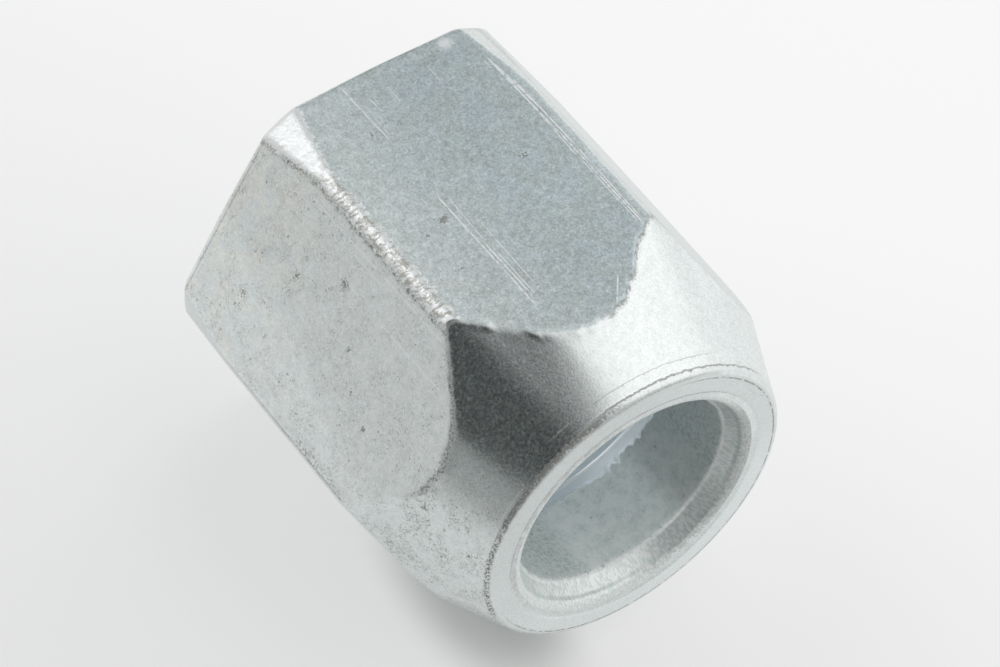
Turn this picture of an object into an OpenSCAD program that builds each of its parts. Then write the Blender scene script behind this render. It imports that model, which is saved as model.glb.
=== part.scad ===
// Flare nut for 1/2 in tube: one cold-formed steel piece with a hexagon, a coned nose and a
// stepped bore. It lies on one flat of its hexagon, with the bore along X and the nose at +X.

/* [Hexagon] */
// Width across the flats, a 7/8 in wrench size
across_flats = 22.225; // [21.5:0.025:26]
// Radius of the softened corners between the flats
corner_r = 0.8; // [0.3:0.1:1.2]
// Overall length from the back face to the nose face
total_len = 24.9; // [22:0.1:32]
// Diameter over the corners at the back face, where they are drawn in
back_corner_d = 24.55; // [23:0.05:25]
// Distance from the back face over which the corners regain their full width
back_taper_len = 5.3; // [3:0.1:8]

/* [Nose] */
// Diameter of the nose face, measured to its sharp edge before rounding
nose_d = 18.5; // [17.5:0.1:20]
// Angle between the nose cone and the axis
nose_angle = 24; // [18:1:32]
// Radius that rounds the rim of the nose face
nose_rim_r = 0.5; // [0.2:0.05:0.8]

/* [Tube bore] */
// Outside diameter of the tube that passes through the nose
tube_d = 12.7; // [11.5:0.1:13.2]
// Difference between the bore's and the tube's diameters
tube_clearance = 0.3; // [0.1:0.05:0.5]
// Depth from the nose face to the end of the tube bore, where the seat starts
bore_depth = 6; // [4:0.1:8]
// Outside diameter of the shallow dished ring round the bore's mouth
dish_d = 15.8; // [15:0.1:16.5]
// Width of the dished ring
dish_w = 0.35; // [0.2:0.05:0.8]
// Depth of the dished ring at its inner edge
dish_depth = 0.08; // [0.04:0.01:0.15]
// Radius of the lip between the dished ring and the burnished band
mouth_r = 0.5; // [0.1:0.05:0.6]
// Depth of the burnished band's inner end below the nose face
band_depth = 1.35; // [0.8:0.05:2.5]
// Height of the step from the end of the burnished band down to the tube bore
band_step = 0.15; // [0.05:0.01:0.25]

/* [Flare seat and thread] */
// Angle between the flare seat and the axis
seat_angle = 45; // [37:1:45]
// Major diameter of the internal thread, 3/4-16 UNF
thread_d = 19.05; // [18:0.05:19.5]
// Pitch of the internal thread
thread_pitch = 1.5875; // [1:0.0125:2]
// How far the countersink at the thread's mouth is wider than the thread, on the diameter
mouth_extra = 0.5; // [0.2:0.1:1]

/* [Hidden] */
$fn = 96;
steel = [0.72, 0.75, 0.76];
minor_ratio = 1.0825;     // minor diameter is the major less this many pitches
outside = 2;              // how far cutting shapes run past the metal
overlap = 0.1;            // how far the corner taper runs on past the full corners
apothem = across_flats / 2;
corner_centre = (apothem - corner_r) / cos(30);
bore_r = (tube_d + tube_clearance) / 2;
band_end_r = bore_r + band_step;
dish_inner_r = dish_d / 2 - dish_w;
minor_r = (thread_d - minor_ratio * thread_pitch) / 2;
mouth_thread_r = (thread_d + mouth_extra) / 2;
seat_len = (minor_r - bore_r) / tan(seat_angle);

// Points on an arc about a centre, from one angle to another
function arc(centre, r, from, to, steps = 8) =
    [for (i = [0 : steps]) let (a = from + (to - from) * i / steps)
        centre + r * [cos(a), sin(a)]];

// Hexagon with rounded corners, its flats square to X
module hexagon() {
    polygon([for (corner = [30 : 60 : 330])
        each arc(corner_centre * [cos(corner), sin(corner)], corner_r, corner - 30, corner + 30)]);
}

// Turned envelope: corners drawn in at the back, cone and rounded rim at the nose
module envelope() {
    full_r = corner_centre + corner_r;
    taper_end_r = full_r + overlap;
    taper_end_z = back_taper_len * (taper_end_r - back_corner_d / 2) / (full_r - back_corner_d / 2);
    limit_r = full_r + outside;
    rim_centre = [nose_d / 2 - nose_rim_r * tan((90 - nose_angle) / 2), total_len - nose_rim_r];
    rotate_extrude() polygon(concat(
        [
            [0, 0],
            [back_corner_d / 2, 0],
            [taper_end_r, taper_end_z],
            [limit_r, taper_end_z],
            [limit_r, total_len - (limit_r - nose_d / 2) / tan(nose_angle)]
        ],
        arc(rim_centre, nose_rim_r, nose_angle, 90),
        [[0, total_len]]
    ));
}

// Everything taken out along the axis, from the thread's mouth to the dished nose face
module bore() {
    lip_centre = [dish_inner_r, total_len - dish_depth - mouth_r];
    seat_z = total_len - bore_depth;
    rotate_extrude() polygon(concat(
        [
            [0, -outside],
            [mouth_thread_r + outside, -outside],
            [minor_r, mouth_thread_r - minor_r],
            [minor_r, seat_z - seat_len],
            [bore_r, seat_z],
            [bore_r, total_len - band_depth],
            [band_end_r, total_len - band_depth]
        ],
        arc(lip_centre, mouth_r, 180, 90),
        [
            [dish_d / 2, total_len],
            [dish_d / 2, total_len + outside],
            [0, total_len + outside]
        ]
    ));
}

module nut() {
    color(steel)
        translate([-total_len / 2, 0, apothem]) rotate([0, 90, 0])
            difference() {
                intersection() {
                    linear_extrude(total_len) hexagon();
                    envelope();
                }
                bore();
            }
}

nut();
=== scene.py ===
import math
import bmesh
import bpy
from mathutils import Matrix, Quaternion, Vector, noise


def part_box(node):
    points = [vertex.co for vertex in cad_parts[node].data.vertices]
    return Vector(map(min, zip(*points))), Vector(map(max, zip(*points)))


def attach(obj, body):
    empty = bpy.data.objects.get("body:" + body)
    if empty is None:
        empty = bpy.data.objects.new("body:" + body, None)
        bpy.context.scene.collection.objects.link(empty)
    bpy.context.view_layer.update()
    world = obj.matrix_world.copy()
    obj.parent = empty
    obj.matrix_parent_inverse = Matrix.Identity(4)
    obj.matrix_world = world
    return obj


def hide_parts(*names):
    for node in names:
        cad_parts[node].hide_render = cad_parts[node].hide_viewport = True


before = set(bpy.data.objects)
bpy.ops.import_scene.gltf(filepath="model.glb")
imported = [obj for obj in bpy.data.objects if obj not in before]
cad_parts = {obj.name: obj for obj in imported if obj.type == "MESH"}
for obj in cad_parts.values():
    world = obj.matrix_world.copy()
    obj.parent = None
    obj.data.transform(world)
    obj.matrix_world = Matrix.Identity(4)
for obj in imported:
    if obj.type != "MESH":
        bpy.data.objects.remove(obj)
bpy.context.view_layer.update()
low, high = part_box("nut")
mm = 0.001
length = (high.x - low.x) / mm       # back face to nose face, in millimetres
apothem = (high.z - low.z) / mm / 2  # axis to a flat, in millimetres
print("frame loaded: the nut is", round(length, 2), "mm long and", round(2 * apothem, 3), "mm across flats")


# the camera
cameraView = {
    "place": (123.75, -92.4, 206.0),      # in millimetres, from the middle of the flat the nut lies on
    "towards": (-0.5001, 0.3731, -0.7817),
    "right": (0.5681, 0.8224, 0.0301),
    "lens": 167.3,
}


def addCamera():
    data = bpy.data.cameras.new("camera")
    data.lens = cameraView["lens"]
    data.clip_start = 0.01
    data.clip_end = 50
    camera = bpy.data.objects.new("camera", data)
    bpy.context.scene.collection.objects.link(camera)
    camera.location = Vector(cameraView["place"]) * mm
    plain = Vector(cameraView["towards"]).to_track_quat("-Z", "Y")
    right = plain.inverted() @ Vector(cameraView["right"])
    camera.rotation_mode = "QUATERNION"
    camera.rotation_quaternion = plain @ Quaternion((0, 0, 1), math.atan2(right.y, right.x))
    bpy.context.scene.camera = camera


addCamera()
print("camera placed")


# the nut: sizes in millimetres, angles in degrees
nutShape = {
    "cornerRadius": 0.8,
    "cornerWear": 0.14,           # how much that radius wanders along a corner
    "backCornerDiameter": 24.55,  # over the corners at the back face
    "backTaperLength": 5.3,
    "backTaperSoftness": 0.12,
    "backEdge": 0.2,              # rounding where the flats meet the back face
    "backEdgeGrowth": 1.6,        # how much larger that rounding is at the corners
    "noseDiameter": 18.5,
    "noseAngle": 24,
    "arcWear": 0.16,              # how much the edge between flat and cone wanders
    "arcReach": 0.7,              # how far up the cone that wandering shows
    "arcSoftness": 0.16,
    "arcShift": 0.12,             # how far that edge lies behind a true cone's, on average
    "arcPull": 0.65,              # and how much farther near the corners
    "rimRadius": 0.5,
    "dishDiameter": 15.8,
    "dishWidth": 0.35,
    "dishDepth": 0.08,
    "mouthRadius": 0.5,
    "bandDepth": 1.35,
    "bandStep": 0.15,
    "boreDiameter": 13.0,
    "boreDepth": 6.0,
    "boreWear": 0.05,             # how uneven the bore's wall is
    "tornEdge": 0.4,              # how far the bore's torn inner edge wanders
    "tornShift": 0.15,            # how far that edge lies behind its plain place, on average
    "seatAngle": 45,
    "threadDiameter": 19.05,
    "threadPitch": 25.4 / 16,
    "threadMouth": 19.55,
    "threadStart": 0.25,          # from the back face
    "threadStop": 0.2,            # short of the seat
    "threadFade": (4.6, 3.0),     # the thread runs out between these distances from its end
    "threadSteps": 144,           # steps in one turn of the thread
    "turnSteps": 432,             # steps in one turn of everything else
    "cornerCrowding": 0.5,        # how far those steps crowd towards the corners
    "blankRadius": 13.2,          # the turned blank, before its hexagon is pressed
    "creaseRow": 19.0,            # the blank's row that becomes the edge between flats and cone
    "evenRows": 8.0,              # rows nearer the back face than this stay in place
}
backEdge = nutShape["backEdge"]
noseTilt = math.radians(nutShape["noseAngle"])
boreRadius = nutShape["boreDiameter"] / 2
minorRadius = (nutShape["threadDiameter"] - 1.0825 * nutShape["threadPitch"]) / 2
mouthRadius = nutShape["threadMouth"] / 2
tornRow = length - nutShape["boreDepth"]
seatEnd = tornRow - (minorRadius - boreRadius) / math.tan(math.radians(nutShape["seatAngle"]))
rimInset = nutShape["rimRadius"] * math.tan(math.radians(45) - noseTilt / 2)
rimCentre = (length - nutShape["rimRadius"], nutShape["noseDiameter"] / 2 - rimInset)
coneEnd = rimCentre[0] + nutShape["rimRadius"] * math.sin(noseTilt)
# zones of the section that the two materials and the cone's edge are found by
outerZones = ("back", "backEdge", "side", "rim")
boreZones = ("mouth", "lip", "band", "bore", "seat")


def smoothStep(start, end, value):
    t = min(max((value - start) / (end - start), 0), 1)
    return t * t * (3 - 2 * t)


def softMin(a, b, width):
    overlap = max(width - abs(a - b), 0) / width
    return min(a, b) - overlap * overlap * width / 4


def wander(x, y, z, seed):
    return noise.noise(Vector((x, y, z)) + Vector((seed * 7.3, seed * 3.1, seed * 5.7)))


def roundedHex(angle, rounding):
    # distance from the axis to a hexagon whose corners have this radius
    away = abs((angle + math.pi / 6) % (math.pi / 3) - math.pi / 6)
    centre = (apothem - rounding) / math.cos(math.pi / 6)
    tangent = math.atan2(rounding / 2, centre + rounding * math.cos(math.pi / 6))
    if away >= tangent:
        return apothem / math.cos(math.pi / 6 - away)
    return centre * math.cos(away) + math.sqrt(rounding ** 2 - (centre * math.sin(away)) ** 2)


fullRadius = roundedHex(0, nutShape["cornerRadius"])


def coneRadius(s):
    return nutShape["noseDiameter"] / 2 + (length - s) * math.tan(noseTilt)


def taperRadius(s):
    backRadius = nutShape["backCornerDiameter"] / 2
    return backRadius + (fullRadius - backRadius) * s / nutShape["backTaperLength"]


def spread(first, last, step):
    count = max(1, round(abs(last - first) / step))
    return [first + (last - first) * i / count for i in range(count)]


def blankRows():
    # section of the blank as (distance from the back face, radius, zone), from the thread's mouth
    # round the back face and the outside to the nose, and down the bore to the flare seat
    shape = nutShape
    rows = [(0.1, mouthRadius - 0.1, "mouth"), (0.0, mouthRadius, "mouth")]
    rows += [(0.0, mouthRadius + 2 * part, "back") for part in (0.25, 0.5, 0.75, 0.9)]
    for turn in range(0, 91, 15):
        t = math.radians(turn)
        inset = backEdge * (1 - math.sin(t))
        rows.append((backEdge * (1 - math.cos(t)), shape["blankRadius"] - inset, "backEdge"))
    crease = shape["creaseRow"]
    for first, last, step in ((0.75, 14, 0.25), (14, crease - 0.8, 0.25),
                              (crease - 0.8, crease + 0.8, 0.1), (crease + 0.8, coneEnd, 0.25)):
        rows += [(s, shape["blankRadius"], "side") for s in spread(first, last, step)]
    for i in range(9):
        turn = noseTilt + (math.pi / 2 - noseTilt) * i / 8
        rows.append((rimCentre[0] + shape["rimRadius"] * math.sin(turn),
                     rimCentre[1] + shape["rimRadius"] * math.cos(turn), "rim"))
    dish = shape["dishDiameter"] / 2
    inner = dish - shape["dishWidth"]
    rows += [(length, r, "face") for r in spread(rimCentre[1] - 0.15, dish + 0.04, 0.18)]
    rows += [(length, dish + 0.04, "face"), (length - 0.06, dish, "dish")]
    rows += [(length - shape["dishDepth"], r, "dish") for r in spread(dish - 0.08, inner, 0.15)]
    lipRow = length - shape["dishDepth"] - shape["mouthRadius"]
    for i in range(7):
        turn = math.radians(15 * i)
        rows.append((lipRow + shape["mouthRadius"] * math.cos(turn),
                     inner - shape["mouthRadius"] * math.sin(turn), "lip"))
    bandRow = length - shape["bandDepth"]
    bandTop = inner - shape["mouthRadius"]
    for i in range(1, 7):
        rows.append((lipRow + (bandRow - lipRow) * i / 6,
                     bandTop + (boreRadius + shape["bandStep"] - bandTop) * i / 6, "band"))
    rows.append((bandRow - 0.03, boreRadius + 0.05, "bore"))
    for first, last, step in ((bandRow - 0.12, tornRow + 0.8, 0.25), (tornRow + 0.8, tornRow, 0.1)):
        rows += [(s, boreRadius, "bore") for s in spread(first, last, step)]
    slope = math.tan(math.radians(shape["seatAngle"]))
    rows += [(s, boreRadius + (tornRow - s) * slope, "seat") for s in spread(tornRow, seatEnd, 0.25)]
    rows.append((seatEnd, minorRadius, "seat"))
    return rows


def outerRadius(s, angle):
    # the pressed hexagon with its corners drawn in at the back, before the cone is cut
    wear = nutShape["cornerWear"] * wander(s * 0.9, math.cos(angle) * 3, math.sin(angle) * 3, 1)
    hexagon = roundedHex(angle, nutShape["cornerRadius"] + wear)
    return softMin(hexagon, taperRadius(s), nutShape["backTaperSoftness"])


def cornerness(angle):
    # 0 in the middle of a flat, 1 on a corner
    return 1 - abs((angle + math.pi / 6) % (math.pi / 3) - math.pi / 6) / (math.pi / 6)


def smoothCrease(angle):
    # where the cone cuts the flats
    hexagon = roundedHex(angle, nutShape["cornerRadius"])
    straight = length - (hexagon - nutShape["noseDiameter"] / 2) / math.tan(noseTilt)
    return straight - nutShape["arcShift"] - nutShape["arcPull"] * smoothStep(0.3, 0.8, cornerness(angle))


def creasePlace(angle):
    # the same with the ragged edge that the cutter left
    ragged = wander(math.cos(angle) * 9, math.sin(angle) * 9, 0, 2)
    ragged += 0.7 * wander(math.cos(angle) * 30, math.sin(angle) * 30, 0, 3)
    rough = 1 + 1.2 * smoothStep(0.55, 1, math.cos(angle - math.radians(72)))
    return smoothCrease(angle) + nutShape["arcWear"] * ragged * rough


def tornPlace(angle):
    # how far the bore's inner edge lies from its plain place
    torn = 0.5 * wander(math.cos(angle) * 7, math.sin(angle) * 7, 0, 4)
    torn += 0.8 * wander(math.cos(angle) * 19, math.sin(angle) * 19, 0, 5)
    return nutShape["tornEdge"] * torn - nutShape["tornShift"]


def pressSide(s, angle):
    # a row of the blank's side, moved so that one row runs along the edge of the cone
    crease = creasePlace(angle)
    creaseRow = nutShape["creaseRow"]
    if s <= creaseRow:
        start = nutShape["evenRows"]
        place = s if s < start else start + (s - start) * (crease - start) / (creaseRow - start)
    else:
        place = crease + (s - creaseRow) * (coneEnd - crease) / (coneEnd - creaseRow)
    flatSide = outerRadius(place, angle)
    smooth = smoothCrease(angle)
    pull = smooth - (length - (flatSide - nutShape["noseDiameter"] / 2) / math.tan(noseTilt))
    step = pull * min((coneEnd - place) / (coneEnd - smooth), 1)
    step += (crease - smooth) * (1 - smoothStep(0, nutShape["arcReach"], place - crease))
    cone = coneRadius(place) + step * math.tan(noseTilt)
    return place, softMin(flatSide, cone, nutShape["arcSoftness"])


def pressBlank(bm, rows, rowLayer):
    # moves the blank's rows into the nut's shape and keeps how far each point is past the cone's edge
    creaseLayer = bm.verts.layers.float.new("crease")
    for vert in bm.verts:
        s, r, zone = rows[vert[rowLayer]]
        angle = math.atan2(vert.co.z - apothem * mm, vert.co.y) % math.tau
        angle -= nutShape["cornerCrowding"] * math.sin(6 * angle) / 6
        if zone == "back":
            part = (r - mouthRadius) / 2
            growth = 1 + nutShape["backEdgeGrowth"] * smoothStep(0, 1, cornerness(angle)) / 2
            r = mouthRadius + (outerRadius(0, angle) - backEdge * growth - mouthRadius) * part
        elif zone == "backEdge":
            growth = 1 + nutShape["backEdgeGrowth"] * smoothStep(0, 1, cornerness(angle))
            s *= growth
            r = outerRadius(s, angle) - (nutShape["blankRadius"] - r) * (1 + growth) / 2
        elif zone == "side":
            s, r = pressSide(s, angle)
        elif zone == "bore":
            s += tornPlace(angle) * (1 - smoothStep(0, 1.2, s - tornRow))
            r += nutShape["boreWear"] * wander(s * 1.6, math.cos(angle) * 8, math.sin(angle) * 8, 6)
        elif zone == "seat" and s > tornRow - 1:
            s += tornPlace(angle) * (1 - smoothStep(0, 1, tornRow - s))
        vert.co = Vector((s - length / 2, r * math.cos(angle), apothem + r * math.sin(angle))) * mm
        vert[creaseLayer] = min(max(s - creasePlace(angle), -10), 10) if zone in outerZones else 10


# the thread's section over one pitch, as (part of the pitch, part of the depth)
threadSection = ((0, 0), (0.25, 0), (0.406, 0.5), (0.5625, 1), (0.6875, 1), (0.844, 0.5))


def makeThread():
    pitch = nutShape["threadPitch"]
    start = nutShape["threadStart"]
    end = seatEnd - nutShape["threadStop"]
    fadeFrom, fadeTo = nutShape["threadFade"]
    depth = nutShape["threadDiameter"] / 2 - minorRadius
    bm = bmesh.new()
    chain = []
    for turn in range(-2, math.ceil(end / pitch) + 1):
        for part, rise in threadSection:
            place = (turn + part) * pitch
            point = Vector((place - length / 2, minorRadius + depth * rise, apothem))
            chain.append(bm.verts.new(point * mm))
    edges = [bm.edges.new(pair) for pair in zip(chain, chain[1:])]
    steps = nutShape["threadSteps"]
    bmesh.ops.spin(bm, geom=chain + edges, cent=(0, 0, apothem * mm), axis=(1, 0, 0), angle=math.tau,
                   steps=steps, dvec=(pitch * mm / steps, 0, 0), use_merge=False)
    bmesh.ops.remove_doubles(bm, verts=bm.verts, dist=0.004 * mm)
    for vert in bm.verts:
        s = min(max(vert.co.x / mm + length / 2, start), end)
        across = Vector((0, vert.co.y, vert.co.z - apothem * mm)) / mm
        full = 1 - smoothStep(end - fadeFrom, end - fadeTo, s)
        r = minorRadius + (across.length - minorRadius) * full
        across = across.normalized() * max(r, mouthRadius - s)
        vert.co = Vector((s - length / 2, across.y, across.z + apothem)) * mm
    bmesh.ops.remove_doubles(bm, verts=bm.verts, dist=0.002 * mm)
    mesh = bpy.data.meshes.new("thread")
    bm.to_mesh(mesh)
    bm.free()
    return mesh


def openEdgesNear(bm, place):
    x = (place - length / 2) * mm
    return [edge for edge in bm.edges if edge.is_boundary and abs(edge.verts[0].co.x - x) < 0.3 * mm]


def makeNut():
    bm = bmesh.new()
    rowLayer = bm.verts.layers.int.new("row")
    rows = blankRows()
    chain = []
    for i, (s, r, zone) in enumerate(rows):
        vert = bm.verts.new(Vector((s - length / 2, r, apothem)) * mm)
        vert[rowLayer] = i
        chain.append(vert)
    edges = [bm.edges.new(pair) for pair in zip(chain, chain[1:])]
    axis = {"cent": (0, 0, apothem * mm), "axis": (1, 0, 0)}
    bmesh.ops.spin(bm, geom=chain + edges, angle=math.tau / 12, steps=nutShape["turnSteps"] // 12, **axis)
    bmesh.ops.spin(bm, geom=bm.verts[:] + bm.edges[:] + bm.faces[:], angle=math.tau * 11 / 12, steps=11,
                   use_duplicate=True, **axis)
    bmesh.ops.remove_doubles(bm, verts=bm.verts, dist=0.002 * mm)
    pressBlank(bm, rows, rowLayer)
    print("nut pressed,", len(bm.faces), "faces")
    thread = makeThread()
    bm.from_mesh(thread)
    bpy.data.meshes.remove(thread)
    for place in (0.2, seatEnd - 0.1):
        bmesh.ops.bridge_loops(bm, edges=openEdgesNear(bm, place))
    print("thread joined,", len(bm.faces), "faces, open edges:", sum(edge.is_boundary for edge in bm.edges))
    bmesh.ops.recalc_face_normals(bm, faces=bm.faces)
    for face in bm.faces:
        face.smooth = True
        inBore = all(rows[vert[rowLayer]][2] in boreZones for vert in face.verts)
        face.material_index = 1 if inBore else 0
    mesh = bpy.data.meshes.new("flareNut")
    bm.to_mesh(mesh)
    bm.free()
    nut = bpy.data.objects.new("flareNut", mesh)
    bpy.context.scene.collection.objects.link(nut)
    return nut


nut = makeNut()
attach(nut, "root")
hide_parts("nut")


class Level:
    # a value or colour on a node's socket; sums and products on it add their Math nodes
    def __init__(self, bench, socket):
        self.bench = bench
        self.socket = socket

    def __add__(self, other):
        return self.bench.math("ADD", self, other)

    def __sub__(self, other):
        return self.bench.math("SUBTRACT", self, other)

    def __rsub__(self, other):
        return self.bench.math("SUBTRACT", other, self)

    def __mul__(self, other):
        return self.bench.math("MULTIPLY", self, other)

    def __truediv__(self, other):
        return self.bench.math("DIVIDE", self, other)

    def __rtruediv__(self, other):
        return self.bench.math("DIVIDE", other, self)

    __radd__ = __add__
    __rmul__ = __mul__


class Bench:
    # the one place where nodes are added to a material or the world
    def __init__(self, owner):
        owner.use_nodes = True
        self.owner = owner
        self.tree = owner.node_tree
        self.tree.nodes.clear()

    def node(self, kind, settings=None, inputs=None, output=0):
        made = self.tree.nodes.new(kind)
        for name, value in (settings or {}).items():
            setattr(made, name, value)
        for key, value in (inputs or {}).items():
            if isinstance(value, Level):
                self.tree.links.new(value.socket, made.inputs[key])
            else:
                made.inputs[key].default_value = value
        if not made.outputs:
            return made
        return Level(self, made.outputs[output])

    def math(self, operation, *values):
        return self.node("ShaderNodeMath", {"operation": operation}, dict(enumerate(values)))

    def vector(self, operation, *values, output=0):
        return self.node("ShaderNodeVectorMath", {"operation": operation}, dict(enumerate(values)), output)

    def dot(self, a, b):
        return self.vector("DOT_PRODUCT", a, b, output=1)

    def scaled(self, vector, factor):
        return self.node("ShaderNodeVectorMath", {"operation": "SCALE"}, {0: vector, "Scale": factor})

    def xyz(self, vector):
        return [self.node("ShaderNodeSeparateXYZ", None, {0: vector}, i) for i in range(3)]

    def fade(self, value, start, end, low=0, high=1):
        return self.node("ShaderNodeMapRange", {"interpolation_type": "SMOOTHSTEP"},
                         {"Value": value, 1: start, 2: end, 3: low, 4: high})

    def blend(self, mask, a, b):
        # a where the mask is 0, b where it is 1; plain colours are red, green, blue
        a, b = [tone if isinstance(tone, Level) else (*tone, 1) for tone in (a, b)]
        settings = {"data_type": "RGBA", "blend_type": "MIX", "clamp_factor": True}
        return self.node("ShaderNodeMix", settings, {0: mask, 6: a, 7: b}, 2)

    def noise(self, place, scale, detail, roughness, shift=None):
        if shift:
            place = self.vector("ADD", place, shift)
        return self.node("ShaderNodeTexNoise", None,
                         {"Vector": place, "Scale": scale, "Detail": detail, "Roughness": roughness})

    def bump(self, height):
        return self.node("ShaderNodeBump", None, {"Height": height, "Distance": mm, "Strength": 1.0})

    def finish(self, colour, metallic, roughness, normal):
        shader = self.node("ShaderNodeBsdfPrincipled", None, {
            "Base Color": colour, "Metallic": metallic, "Roughness": roughness, "Normal": normal})
        self.node("ShaderNodeOutputMaterial", None, {"Surface": shader})
        return self.owner


def cosine(angle):
    return math.cos(math.radians(angle))


def sine(angle):
    return math.sin(math.radians(angle))


class NutPlaces:
    # where a point of the nut lies: s from the back face, y across the axis, up over it, radius round it
    def __init__(self, bench):
        self.bench = bench
        self.place = bench.scaled(bench.node("ShaderNodeTexCoord", None, None, 3), 1 / mm)
        x, self.y, z = bench.xyz(self.place)
        self.s = x + length / 2
        self.up = z - apothem
        self.radius = bench.math("SQRT", self.y * self.y + self.up * self.up)

    def height(self, angle):
        # distance from the axis along this angle, so that it is the apothem all over that flat
        return self.y * cosine(angle) + self.up * sine(angle)

    def across(self, angle):
        # distance from the middle line of the flat or corner at this angle
        return self.up * cosine(angle) - self.y * sine(angle)

    def window(self, angle, inner, outer):
        # 1 within the inner angle on both sides of this one, 0 beyond the outer
        return self.bench.fade(self.height(angle) / self.radius, cosine(outer), cosine(inner))


# angles round the axis of the sides that the material picks out
topFlat = 90
leftFlat = 150
ridgedCorner = 120
paleCorner = 60

# the outside: colours as linear red, green, blue, sizes in millimetres
plateFinish = {
    "zinc": (0.89, 0.94, 0.935),
    # the next two tones are a painted reflection on the top flat, darker and bluer than the zinc
    "topBlueReflection": (0.68, 0.765, 0.795),
    "topGreenReflection": (0.67, 0.75, 0.75),
    "warmZinc": (0.935, 0.95, 0.895),
    "bright": (0.95, 0.97, 0.97),
    "grime": (0.14, 0.13, 0.105),
    "stripDirt": (0.44, 0.43, 0.38),
    "grain": 0.75,             # contrast of the fine mottling
    "patches": 0.28,           # contrast of the coarser mottling
    "flatRoughness": 0.36,
    "coneRoughness": 0.27,
    "grainHeight": 0.009,
    "ridgeHeight": 0.05,
    "stripAtBack": 1.22,       # half the width of the bright strip along the ridged corner
    "stripAtNose": 0.44,
    "grimeAtNose": 0.47,       # where its grime lies, measured the same way
    "scratchShine": 0.75,      # how much less metallic a scratch is
    "darkMarkCover": 0.9,
}
# scratches on the uppermost flat: start and end as (from the back face, across), then width and strength
topScratches = (
    (0.2, -2.31, 4.9, -2.17, 0.045, 1.0), (1.7, -1.47, 2.9, -1.42, 0.04, 0.8),
    (1.7, -1.23, 2.8, -1.26, 0.03, 0.5), (1.7, -1.89, 4.8, -2.01, 0.03, 0.6),
    (1.9, -0.19, 3.0, -0.19, 0.035, 0.7), (2.0, -0.33, 3.0, -0.32, 0.03, 0.5),
    (1.4, 2.39, 3.2, 2.39, 0.035, 0.5), (6.8, -2.13, 8.2, -2.10, 0.03, 0.4),
    (9.2, -2.24, 18.2, -2.10, 0.05, 0.95), (9.7, -1.81, 13.2, -1.89, 0.035, 0.7),
    (13.0, -1.97, 17.8, -1.89, 0.045, 0.95), (13.5, -1.76, 17.6, -1.73, 0.035, 0.7),
    (11.8, -1.34, 17.1, -1.34, 0.03, 0.7), (2.6, 5.38, 9.4, 5.56, 0.05, 0.9),
    (3.2, 5.46, 7.3, 5.72, 0.045, 0.9), (4.7, 5.68, 10.4, 5.78, 0.045, 0.9),
    (4.2, 5.50, 11.2, 5.42, 0.04, 0.7), (9.0, 5.60, 16.9, 5.65, 0.05, 0.9),
    (10.4, 5.78, 16.4, 5.77, 0.04, 0.8), (11.0, 5.46, 16.6, 5.50, 0.04, 0.7),
    (18.6, 2.67, 20.4, 1.33, 0.05, 1.0),
)
# the same on the flat to its left
sideScratches = (
    (8.6, -3.12, 11.5, -3.12, 0.04, 0.6), (12.5, -3.05, 18.4, -3.17, 0.05, 0.9),
    (2.9, -4.97, 17.1, -5.26, 0.08, 0.5), (8.6, -4.63, 12.0, -4.71, 0.05, 0.35),
    (8.6, 0.0, 9.6, 1.29, 0.035, 0.8), (8.4, 0.22, 9.3, 1.25, 0.03, 0.6),
    (9.3, -1.15, 10.3, -2.0, 0.035, 0.7), (10.3, -2.0, 11.3, -2.83, 0.035, 0.6),
)
# dark nicks near the rim of the nose face, as (y, height over the axis) in place of distance and across
faceNicks = (
    (6.83, 5.20, 7.14, 5.58, 0.035, 0.9), (7.56, 4.07, 8.14, 3.69, 0.03, 0.7),
    (6.83, 5.20, 7.56, 4.07, 0.03, 0.6), (5.11, 7.04, 5.49, 7.20, 0.03, 0.7),
    (1.9, -8.75, 2.1, -8.5, 0.04, 0.8), (3.75, -8.05, 3.95, -7.85, 0.04, 0.8),
)
# dark pits as (from the back face, across, radius)
topPits = (
    (10.85, -2.85, 0.2), (9.5, 3.1, 0.14), (14.1, -3.86, 0.06), (11.3, -4.17, 0.06), (4.0, -2.75, 0.1),
)
sidePits = (
    (9.6, -3.0, 0.2), (3.95, 2.45, 0.16), (11.9, -0.4, 0.12), (5.15, -4.3, 0.06), (1.85, -3.4, 0.05),
    (20.75, 2.62, 0.14), (17.4, 4.3, 0.1), (6.6, -0.9, 0.12), (15.2, 2.1, 0.12), (13.4, 1.2, 0.08),
)


def scratchMask(bench, s, across, lines, breaks):
    # thin straight lines that fade at their ends and break up
    total = 0
    for s0, across0, s1, across1, width, strength in lines:
        slope = (across1 - across0) / (s1 - s0)
        offAxis = bench.math("ABSOLUTE", across - (s - s0) * slope - across0)
        line = bench.fade(offAxis, width * 0.4, width * 1.3, strength, 0)
        half = (s1 - s0) / 2
        ends = bench.fade(bench.math("ABSOLUTE", s - s0 - half), half - 0.5, half, 1, 0)
        total = bench.math("MAXIMUM", line * ends, total)
    return total * breaks


def pitMask(bench, s, across, pits, ragged):
    # small dark pits with ragged edges
    total = 0
    for s0, across0, size in pits:
        ds = s - s0
        dw = across - across0
        away = bench.math("SQRT", ds * ds + dw * dw) + ragged * size
        total = bench.math("MAXIMUM", bench.fade(away, size * 0.5, size * 1.3, 1, 0), total)
    return total


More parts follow.
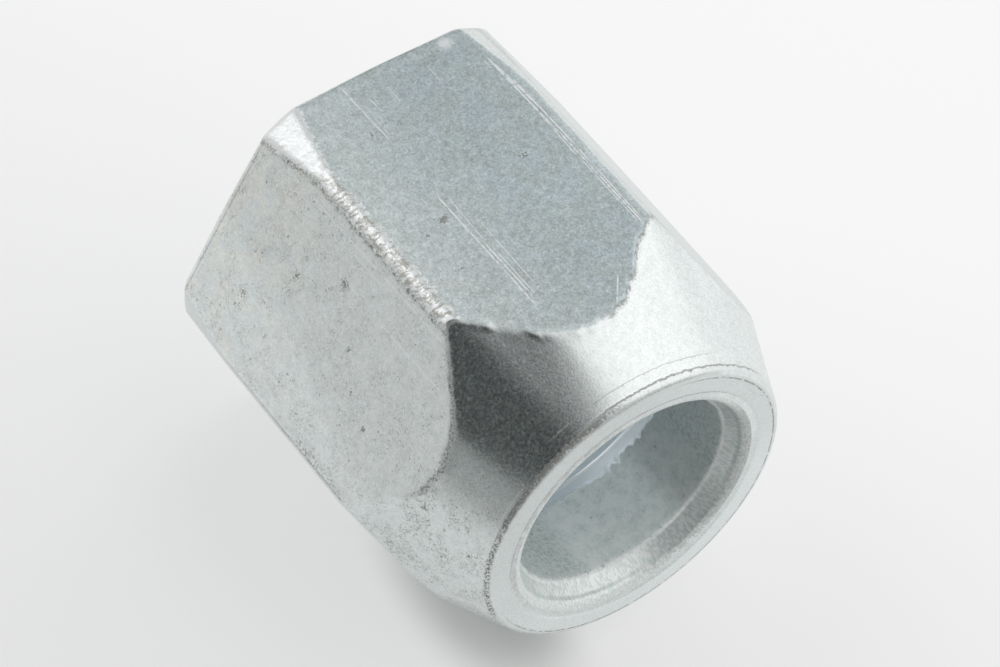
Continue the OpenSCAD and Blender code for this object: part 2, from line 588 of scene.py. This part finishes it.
def plateMaterial():
    look = plateFinish
    bench = Bench(bpy.data.materials.new("zincPlate"))
    nutPlaces = NutPlaces(bench)
    place, s, y, window = nutPlaces.place, nutPlaces.s, nutPlaces.y, nutPlaces.window
    acrossLeft = nutPlaces.across(leftFlat)
    acrossRidged = nutPlaces.across(ridgedCorner)
    acrossPale = nutPlaces.across(paleCorner)
    crease = bench.node("ShaderNodeAttribute", {"attribute_name": "crease"}, None, 2)

    def line(value, at, width):
        return bench.fade(bench.math("ABSOLUTE", value - at), width * 0.4, width * 1.3, 1, 0)

    onFlats = bench.fade(crease, -0.05, 0.1, 1, 0)
    onTop = bench.fade(nutPlaces.height(topFlat), apothem - 0.1, apothem - 0.04) * onFlats
    onLeft = bench.fade(nutPlaces.height(leftFlat), apothem - 0.1, apothem - 0.04) * onFlats
    onFace = bench.fade(s, length - 0.05, length - 0.02)
    fine = bench.noise(place, 7.5, 3, 0.75)
    middle = bench.noise(place, 2.4, 2, 0.6)
    broad = bench.noise(place, 0.6, 2, 0.5, shift=(31, 7, 5))

    # zinc colour: on top a darker bluish tone, mottled, that is a painted reflection; paler and warmer on
    # the left
    blue = bench.fade(broad + (middle - 0.5) * 0.5, 0.40, 0.58)
    topTone = bench.blend(blue, look["topGreenReflection"], look["topBlueReflection"])
    topTone = bench.blend(bench.fade(y, -6.5, 2, 0.75, 0), topTone, look["zinc"])
    topTone = bench.blend(bench.fade(s, 0.3, 1.3, 0.5, 0), topTone, look["zinc"])
    warm = bench.fade(broad + (middle - 0.5) * 0.3, 0.40, 0.56) * bench.fade(s, 4, 9, 0.65, 0.15) * onLeft
    tone = bench.blend(warm, look["zinc"], look["warmZinc"])
    tone = bench.blend(onTop, tone, topTone)
    contrast = (onTop * 0.7 + 0.75) * (1 - onFace * 0.6)
    value = 0.86 + ((fine - 0.5) * look["grain"] + (middle - 0.5) * look["patches"]) * contrast
    # painted light and shade: the left flat lighter towards its lower corner and the back face, the top flat
    # lighter towards its left corner and darker towards the cone
    value = value + bench.fade(acrossLeft - s * 0.3, -2.2, 1.2, 0, 0.11) * onLeft
    value = value + bench.fade(y + s * 0.25, -3.5, 0.5, 0.06, 0) * onTop
    value = value - bench.fade(s, 12, 18, 0, 0.045) * onTop
    # painted light and shade on the nose face: lighter towards the bottom, darker towards the upper left
    value = value + (window(285, 50, 90) * 0.10 - window(130, 30, 60) * 0.06) * onFace
    # painted light: the cone lighter on its right side
    value = value + window(30, 18, 34) * bench.fade(crease, 0.05, 0.25) * (1 - onFace) * 0.08
    colour = bench.scaled(tone, value)
    sparks = bench.fade(bench.noise(place, 6.5, 2, 0.7, shift=(3, 11, 2)), 0.59, 0.70)
    sparks = sparks * (onTop * 0.8 + onLeft * 0.35)
    dull = bench.fade(fine, 0.46, 0.70) * (window(122, 18, 34) * 0.08 + 0.05)

    # scratches and scuffs
    breaks = bench.fade(bench.noise(place, 3, 2, 0.6), 0.36, 0.52, 0.3, 1.2)
    scratches = onTop * scratchMask(bench, s, y + (middle - 0.5) * 0.07, topScratches, breaks)
    scratches = scratches + onLeft * scratchMask(bench, s, acrossLeft, sideScratches, breaks)
    fineLines = bench.noise(bench.vector("MULTIPLY", place, (0.12, 6, 6)), 2.2, 2, 0.5)
    scratches = scratches + bench.fade(fineLines, 0.64, 0.74) * onTop * bench.fade(middle, 0.45, 0.6) * 0.4
    scuff = pitMask(bench, s, y, ((0.7, 4.1, 0.4),), (fine - 0.5) * 4) * onTop * 0.8
    scratches = bench.math("MINIMUM", scratches + scuff + sparks * 0.65, 1)
    colour = bench.blend(scratches, colour, look["bright"])

    # pits, hairlines and grime, with a painted dark reflection on the rim's rounding
    clusters = bench.noise(place, 0.8, 2, 0.6, shift=(5, 23, 9))
    worms = bench.math("ABSOLUTE", bench.noise(place, 3.2, 3, 0.65, shift=(17, 5, 9)) - 0.5)
    onCone = bench.fade(crease, 0.05, 0.25) * bench.fade(s, length - 0.4, length - 0.1, 1, 0)
    sideCone = onCone * window(185, 40, 52)
    worms = bench.fade(worms, 0.008, 0.04, 1, 0) * bench.fade(clusters, 0.42, 0.56)
    worms = worms * bench.fade(fine, 0.42, 0.58) * (onLeft * 0.52 + sideCone * 0.75 + onTop * 0.2)
    specks = bench.fade(bench.noise(place, 4.5, 3, 0.7, shift=(9, 2, 13)), 0.60, 0.72)
    specks = specks * bench.fade(clusters, 0.40, 0.56, 0.35, 1)
    specks = specks * (onLeft * 0.72 + sideCone * 0.8 + onTop * 0.2)
    lowerEdge = bench.fade(acrossLeft, 5.3, 6.1) * bench.fade(s, 8, 13) * bench.fade(fine, 0.46, 0.6) * 0.5
    lowerEdge = (lowerEdge + line(acrossLeft, 6.22, 0.06) * bench.fade(s, 1, 4, 0, 0.35)) * onLeft
    pits = onTop * pitMask(bench, s, y, topPits, (fine - 0.5) * 9)
    besideTop = (1 - onTop) * bench.fade(acrossLeft, 3.5, 4, 1, 0) * window(leftFlat, 28, 34)
    pits = pits + besideTop * pitMask(bench, s, acrossLeft, sidePits, (fine - 0.5) * 9)
    ragged = (middle - 0.5) * 0.9 + (fine - 0.5) * 0.6
    taper = nutShape["backTaperLength"]
    stripEdge = bench.fade(s, 0, taper, look["stripAtBack"], look["grimeAtNose"])
    besideStrip = bench.math("ABSOLUTE", acrossRidged - stripEdge - 0.06 - ragged * 0.25)
    stripGrime = bench.fade(besideStrip, 0.04, 0.26, 1, 0) * bench.fade(fine, 0.40, 0.62) * onFlats
    stripGrime = stripGrime * window(122, 9, 12) * bench.fade(middle, 0.4, 0.6, 0.35, 0.95)
    fringe = bench.fade(bench.math("ABSOLUTE", acrossPale + 0.42 + ragged * 0.2), 0.05, 0.3, 1, 0)
    fringe = fringe * bench.fade(fine, 0.44, 0.62) * onFlats * window(62, 6, 9) * 0.4
    arcDirt = bench.fade(bench.math("ABSOLUTE", crease - ragged * 0.5), 0.05, 0.26, 1, 0)
    arcDirt = arcDirt * bench.fade(fine, 0.42, 0.58)
    arcDirt = arcDirt * (window(144, 10, 24) * 0.85 + window(72, 12, 18) * 0.6)
    # the rim's rounding gets dark specks, heavier on the left: partly grime, partly a painted dark
    # reflection
    rimEdge = bench.fade(s + ragged * 0.12, length - 0.4, length - 0.3)
    rimEdge = rimEdge * bench.fade(s + ragged * 0.1, length - 0.14, length - 0.04, 1, 0)
    leftRim = window(152, 42, 58)
    rimGrimeAndDarkReflection = bench.fade(fine + leftRim * 0.06 + window(128, 15, 35) * 0.06, 0.50, 0.62)
    rimGrimeAndDarkReflection = rimGrimeAndDarkReflection * rimEdge * (leftRim * 0.65 + 0.2)
    rimLine = line(s + ragged * 0.26, length - 0.42, 0.055) * window(72, 30, 44) * 0.6
    rimLine = rimLine + line(s + ragged * 0.16, length - 1.05, 0.03) * window(90, 26, 36) * 0.3
    faceLine = line(nutPlaces.radius + ragged * 0.1, 8.93, 0.05) * window(320, 95, 125) * 0.6
    faceLine = faceLine * bench.fade(middle, 0.36, 0.5)
    nicks = onFace * scratchMask(bench, y, nutPlaces.up, faceNicks, 1)
    backLine = line(s, 0.38, 0.05) * onLeft * 0.3
    # all the dark marks, the rim's painted dark reflection among them
    dirtAndDarkReflection = worms + specks + lowerEdge + backLine + pits * 0.7 + stripGrime + fringe + arcDirt
    dirtAndDarkReflection = bench.math("MINIMUM", dirtAndDarkReflection + rimGrimeAndDarkReflection + rimLine + faceLine + nicks, 1)
    colour = bench.blend(dirtAndDarkReflection * look["darkMarkCover"], colour, look["grime"])
    # painted highlight: a thin bright line where the rim's rounding starts, on the upper left
    rimHighlight = line(s + ragged * 0.16, length - 0.5, 0.035) * window(122, 24, 34)
    colour = bench.blend(rimHighlight * 0.8, colour, look["bright"])

    # the corner strip, pressed bright with ridges across it
    ridgeTurn = (middle - 0.5) * 3 + acrossRidged * 1.6
    ridgePlace = {0: s * 3.6 + ridgeTurn, 1: acrossRidged * 1.3, 2: 0}
    ridges = bench.noise(bench.node("ShaderNodeCombineXYZ", None, ridgePlace), 1.0, 3, 0.6)
    stripWidth = bench.fade(s, 0, taper, look["stripAtBack"], look["stripAtNose"])
    onStrip = bench.math("ABSOLUTE", acrossRidged) - stripWidth + (ridges - 0.5) * 0.9
    onStrip = bench.fade(onStrip, -0.06, 0.06, 1, 0) * onFlats * window(120, 10, 14)
    ridged = bench.fade(s, 3.4, 6.2)
    furrows = bench.fade(ridges + (fine - 0.5) * 0.5, 0.42, 0.58) * (ridged * 0.7 + 0.15)
    stripTone = bench.blend(furrows, look["bright"], look["stripDirt"])
    colour = bench.blend(onStrip * (1 - stripGrime), colour, stripTone)

    roughness = bench.fade(crease, -0.1, 0.3, look["flatRoughness"], look["coneRoughness"])
    roughness = roughness + (fine - 0.5) * 0.15 + dirtAndDarkReflection * 0.3
    palerStrip = bench.fade(nutPlaces.height(paleCorner), 12.4, 12.6) * onFlats
    metallic = 1 - scratches * look["scratchShine"] - dull - dirtAndDarkReflection * look["darkMarkCover"]
    metallic = metallic - onStrip * 0.3 - palerStrip * 0.6
    metallic = bench.math("MAXIMUM", metallic, 0)
    height = fine * (1 - onFace * 0.5) * look["grainHeight"] + ridges * onStrip * look["ridgeHeight"]
    return bench.finish(colour, metallic, roughness, bench.bump(height))


# the bore, from the lip to the thread
boreFinish = {
    "zinc": (0.86, 0.93, 0.91),
    "dark": (0.52, 0.605, 0.59),
    "light": (0.96, 1.0, 0.99),
    "band": (0.965, 1.0, 0.99),
    "bandDark": (0.70, 0.80, 0.78),
    "seat": (0.88, 0.94, 0.97),
    "grime": (0.20, 0.20, 0.17),
    "roughness": 0.42,
    "grainHeight": 0.015,
}


def boreMaterial():
    look = boreFinish
    bench = Bench(bpy.data.materials.new("zincBore"))
    nutPlaces = NutPlaces(bench)
    place, s, window = nutPlaces.place, nutPlaces.s, nutPlaces.window
    onBand = bench.fade(s, length - 1.40, length - 1.34)
    onSeat = bench.fade(nutPlaces.radius, boreRadius + 0.12, boreRadius + 0.2)
    onSeat = onSeat * bench.fade(s, length - 5.0, length - 4.6, 1, 0)
    fine = bench.noise(place, 4.5, 3, 0.75)
    middle = bench.noise(place, 1.5, 2, 0.6)
    chatter = bench.noise(bench.vector("MULTIPLY", place, (0.04, 1, 1)), 8, 1, 0.5)
    colour = bench.blend(bench.fade(fine, 0.42, 0.64) * 0.8, look["zinc"], look["dark"])
    lightPatches = bench.fade((middle - 0.5) * 0.7 + fine, 0.43, 0.58) * window(293, 30, 46)
    colour = bench.blend(lightPatches * 0.95, colour, look["light"])
    # painted shade: the bore wall darker on two sides, most around 350 degrees and less around 220
    colour = bench.scaled(colour, 1 - window(350, 28, 50) * 0.36 - window(220, 20, 40) * 0.14)
    crumbs = bench.fade(s, length - 1.9, length - 1.42) * window(250, 40, 70)
    colour = bench.blend(crumbs * bench.fade(fine, 0.5, 0.6), colour, look["band"])
    specks = bench.fade(bench.noise(place, 2.6, 3, 0.6, shift=(9, 2, 13)), 0.68, 0.74)
    specks = specks + crumbs * bench.fade(fine, 0.36, 0.42, 0.7, 0)
    colour = bench.blend(specks * (1 - onBand) * 0.8, colour, look["grime"])
    bandColour = bench.blend(bench.fade(chatter, 0.44, 0.58) * 0.8, look["band"], look["bandDark"])
    # painted shade: the band darker on one side, around 352 degrees
    bandColour = bench.scaled(bandColour, 1 - window(352, 22, 50) * 0.28)
    lipDirt = bench.fade(s, length - 0.7, length - 0.35) * bench.fade(fine, 0.42, 0.62) * window(335, 40, 70)
    bandColour = bench.blend(lipDirt * 0.25, bandColour, look["grime"])
    colour = bench.blend(onBand, colour, bandColour)
    colour = bench.blend(onSeat, colour, look["seat"])
    metallic = 0.1 + onBand * 0.25 + onSeat * 0.3
    roughness = look["roughness"] - onSeat * 0.2 - onBand * 0.1
    height = fine * (1 - onBand) * (1 - onSeat) * look["grainHeight"] + chatter * onBand * 0.012
    return bench.finish(colour, metallic, roughness, bench.bump(height))


nut.data.materials.append(plateMaterial())
nut.data.materials.append(boreMaterial())
print("materials made")


# the floor
floorLook = {
    "colour": 0.88,
    "brightSide": (-0.4, 0.92, 0),
    "brightLift": 0.81,       # share of plain white that the camera sees
    "dimLift": 0.36,
    "metalLift": 0.85,        # how much of that the metal shows
    "shade": (6.5, -5.5),     # where the shadow under the nose is left as dark as it falls
    "farSide": (0.85, -0.53, 0),
    "farColour": 0.4,         # paper colour far off on that side, where less light falls
    "halfWidth": 3,           # in metres
}


def floorMaterial():
    bench = Bench(bpy.data.materials.new("paleFloor"))
    place = bench.scaled(bench.node("ShaderNodeTexCoord", None, None, 3), 1 / mm)
    # painted light: the plain white that the camera and mirrors see grows towards brightSide, a gradient
    # across the floor
    side = bench.dot(place, floorLook["brightSide"])
    lift = bench.fade(side, -45, 45, floorLook["dimLift"], floorLook["brightLift"])
    seen = bench.node("ShaderNodeLightPath", None, None, "Is Camera Ray")
    mirrored = bench.node("ShaderNodeLightPath", None, None, "Is Glossy Ray")
    shown = bench.math("MAXIMUM", seen, mirrored * floorLook["metalLift"])
    x, y, z = bench.xyz(place)
    dx = (x - floorLook["shade"][0]) * 0.45
    dy = y - floorLook["shade"][1]
    shade = bench.fade(bench.math("SQRT", dx * dx + dy * dy), 1.5, 4.8, 0.8, 0)
    lift = lift * (1 - shade)
    far = bench.fade(bench.dot(place, floorLook["farSide"]), 12, 130)
    lift = lift * (1 - far * mirrored)
    tone = bench.blend(far, [floorLook["colour"]] * 3, [floorLook["farColour"]] * 3)
    paper = bench.node("ShaderNodeBsdfDiffuse", None, {"Color": tone})
    shine = bench.node("ShaderNodeEmission", None, {"Color": (1, 1, 1, 1), "Strength": 1.0})
    mixed = bench.node("ShaderNodeMixShader", None, {0: lift * shown, 1: paper, 2: shine})
    bench.node("ShaderNodeOutputMaterial", None, {"Surface": mixed})
    return bench.owner


def addFloor():
    bm = bmesh.new()
    bmesh.ops.create_grid(bm, x_segments=1, y_segments=1, size=floorLook["halfWidth"])
    mesh = bpy.data.meshes.new("floor")
    bm.to_mesh(mesh)
    bm.free()
    floor = bpy.data.objects.new("floor", mesh)
    bpy.context.scene.collection.objects.link(floor)
    mesh.materials.append(floorMaterial())


# the studio's soft light: each patch is (height, turn, inner angle, outer angle, colour), with its height
# over the floor, its turn from +X and the angles from its middle in degrees
studioPatches = {
    "room": (0.62, 0.62, 0.62),
    "patches": (
        (52, 146, 30, 52, (0.33, 0.365, 0.37)),
        (44, 76, 30, 50, (1.22, 1.21, 1.20)),
        (0, 84, 8, 24, (0.98, 0.98, 0.98)),
        (2, 120, 10, 24, (1.05, 1.04, 1.02)),
        (42, -146, 14, 30, (1.55, 1.56, 1.57)),
        (0, -85, 20, 38, (0.37, 0.38, 0.38)),
        (45, -63.5, 16, 38, (0.024, 0.029, 0.028)),
    ),
}


def direction(height, turn):
    # unit vector at this many degrees above the floor and round from +X
    return cosine(height) * cosine(turn), cosine(height) * sine(turn), sine(height)


def addStudio():
    world = bpy.data.worlds.new("studio")
    bench = Bench(world)
    towards = bench.node("ShaderNodeTexCoord", None, None, 0)
    light = studioPatches["room"]
    for height, turn, inner, outer, colour in studioPatches["patches"]:
        mask = bench.fade(bench.dot(towards, direction(height, turn)), cosine(outer), cosine(inner))
        light = bench.blend(mask, light, colour)
    background = bench.node("ShaderNodeBackground", None, {"Color": light, "Strength": 1.0})
    bench.node("ShaderNodeOutputWorld", None, {"Surface": background})
    bpy.context.scene.world = world


addFloor()
addStudio()
bpy.context.scene.view_settings.view_transform = "Standard"
print("floor and light placed")
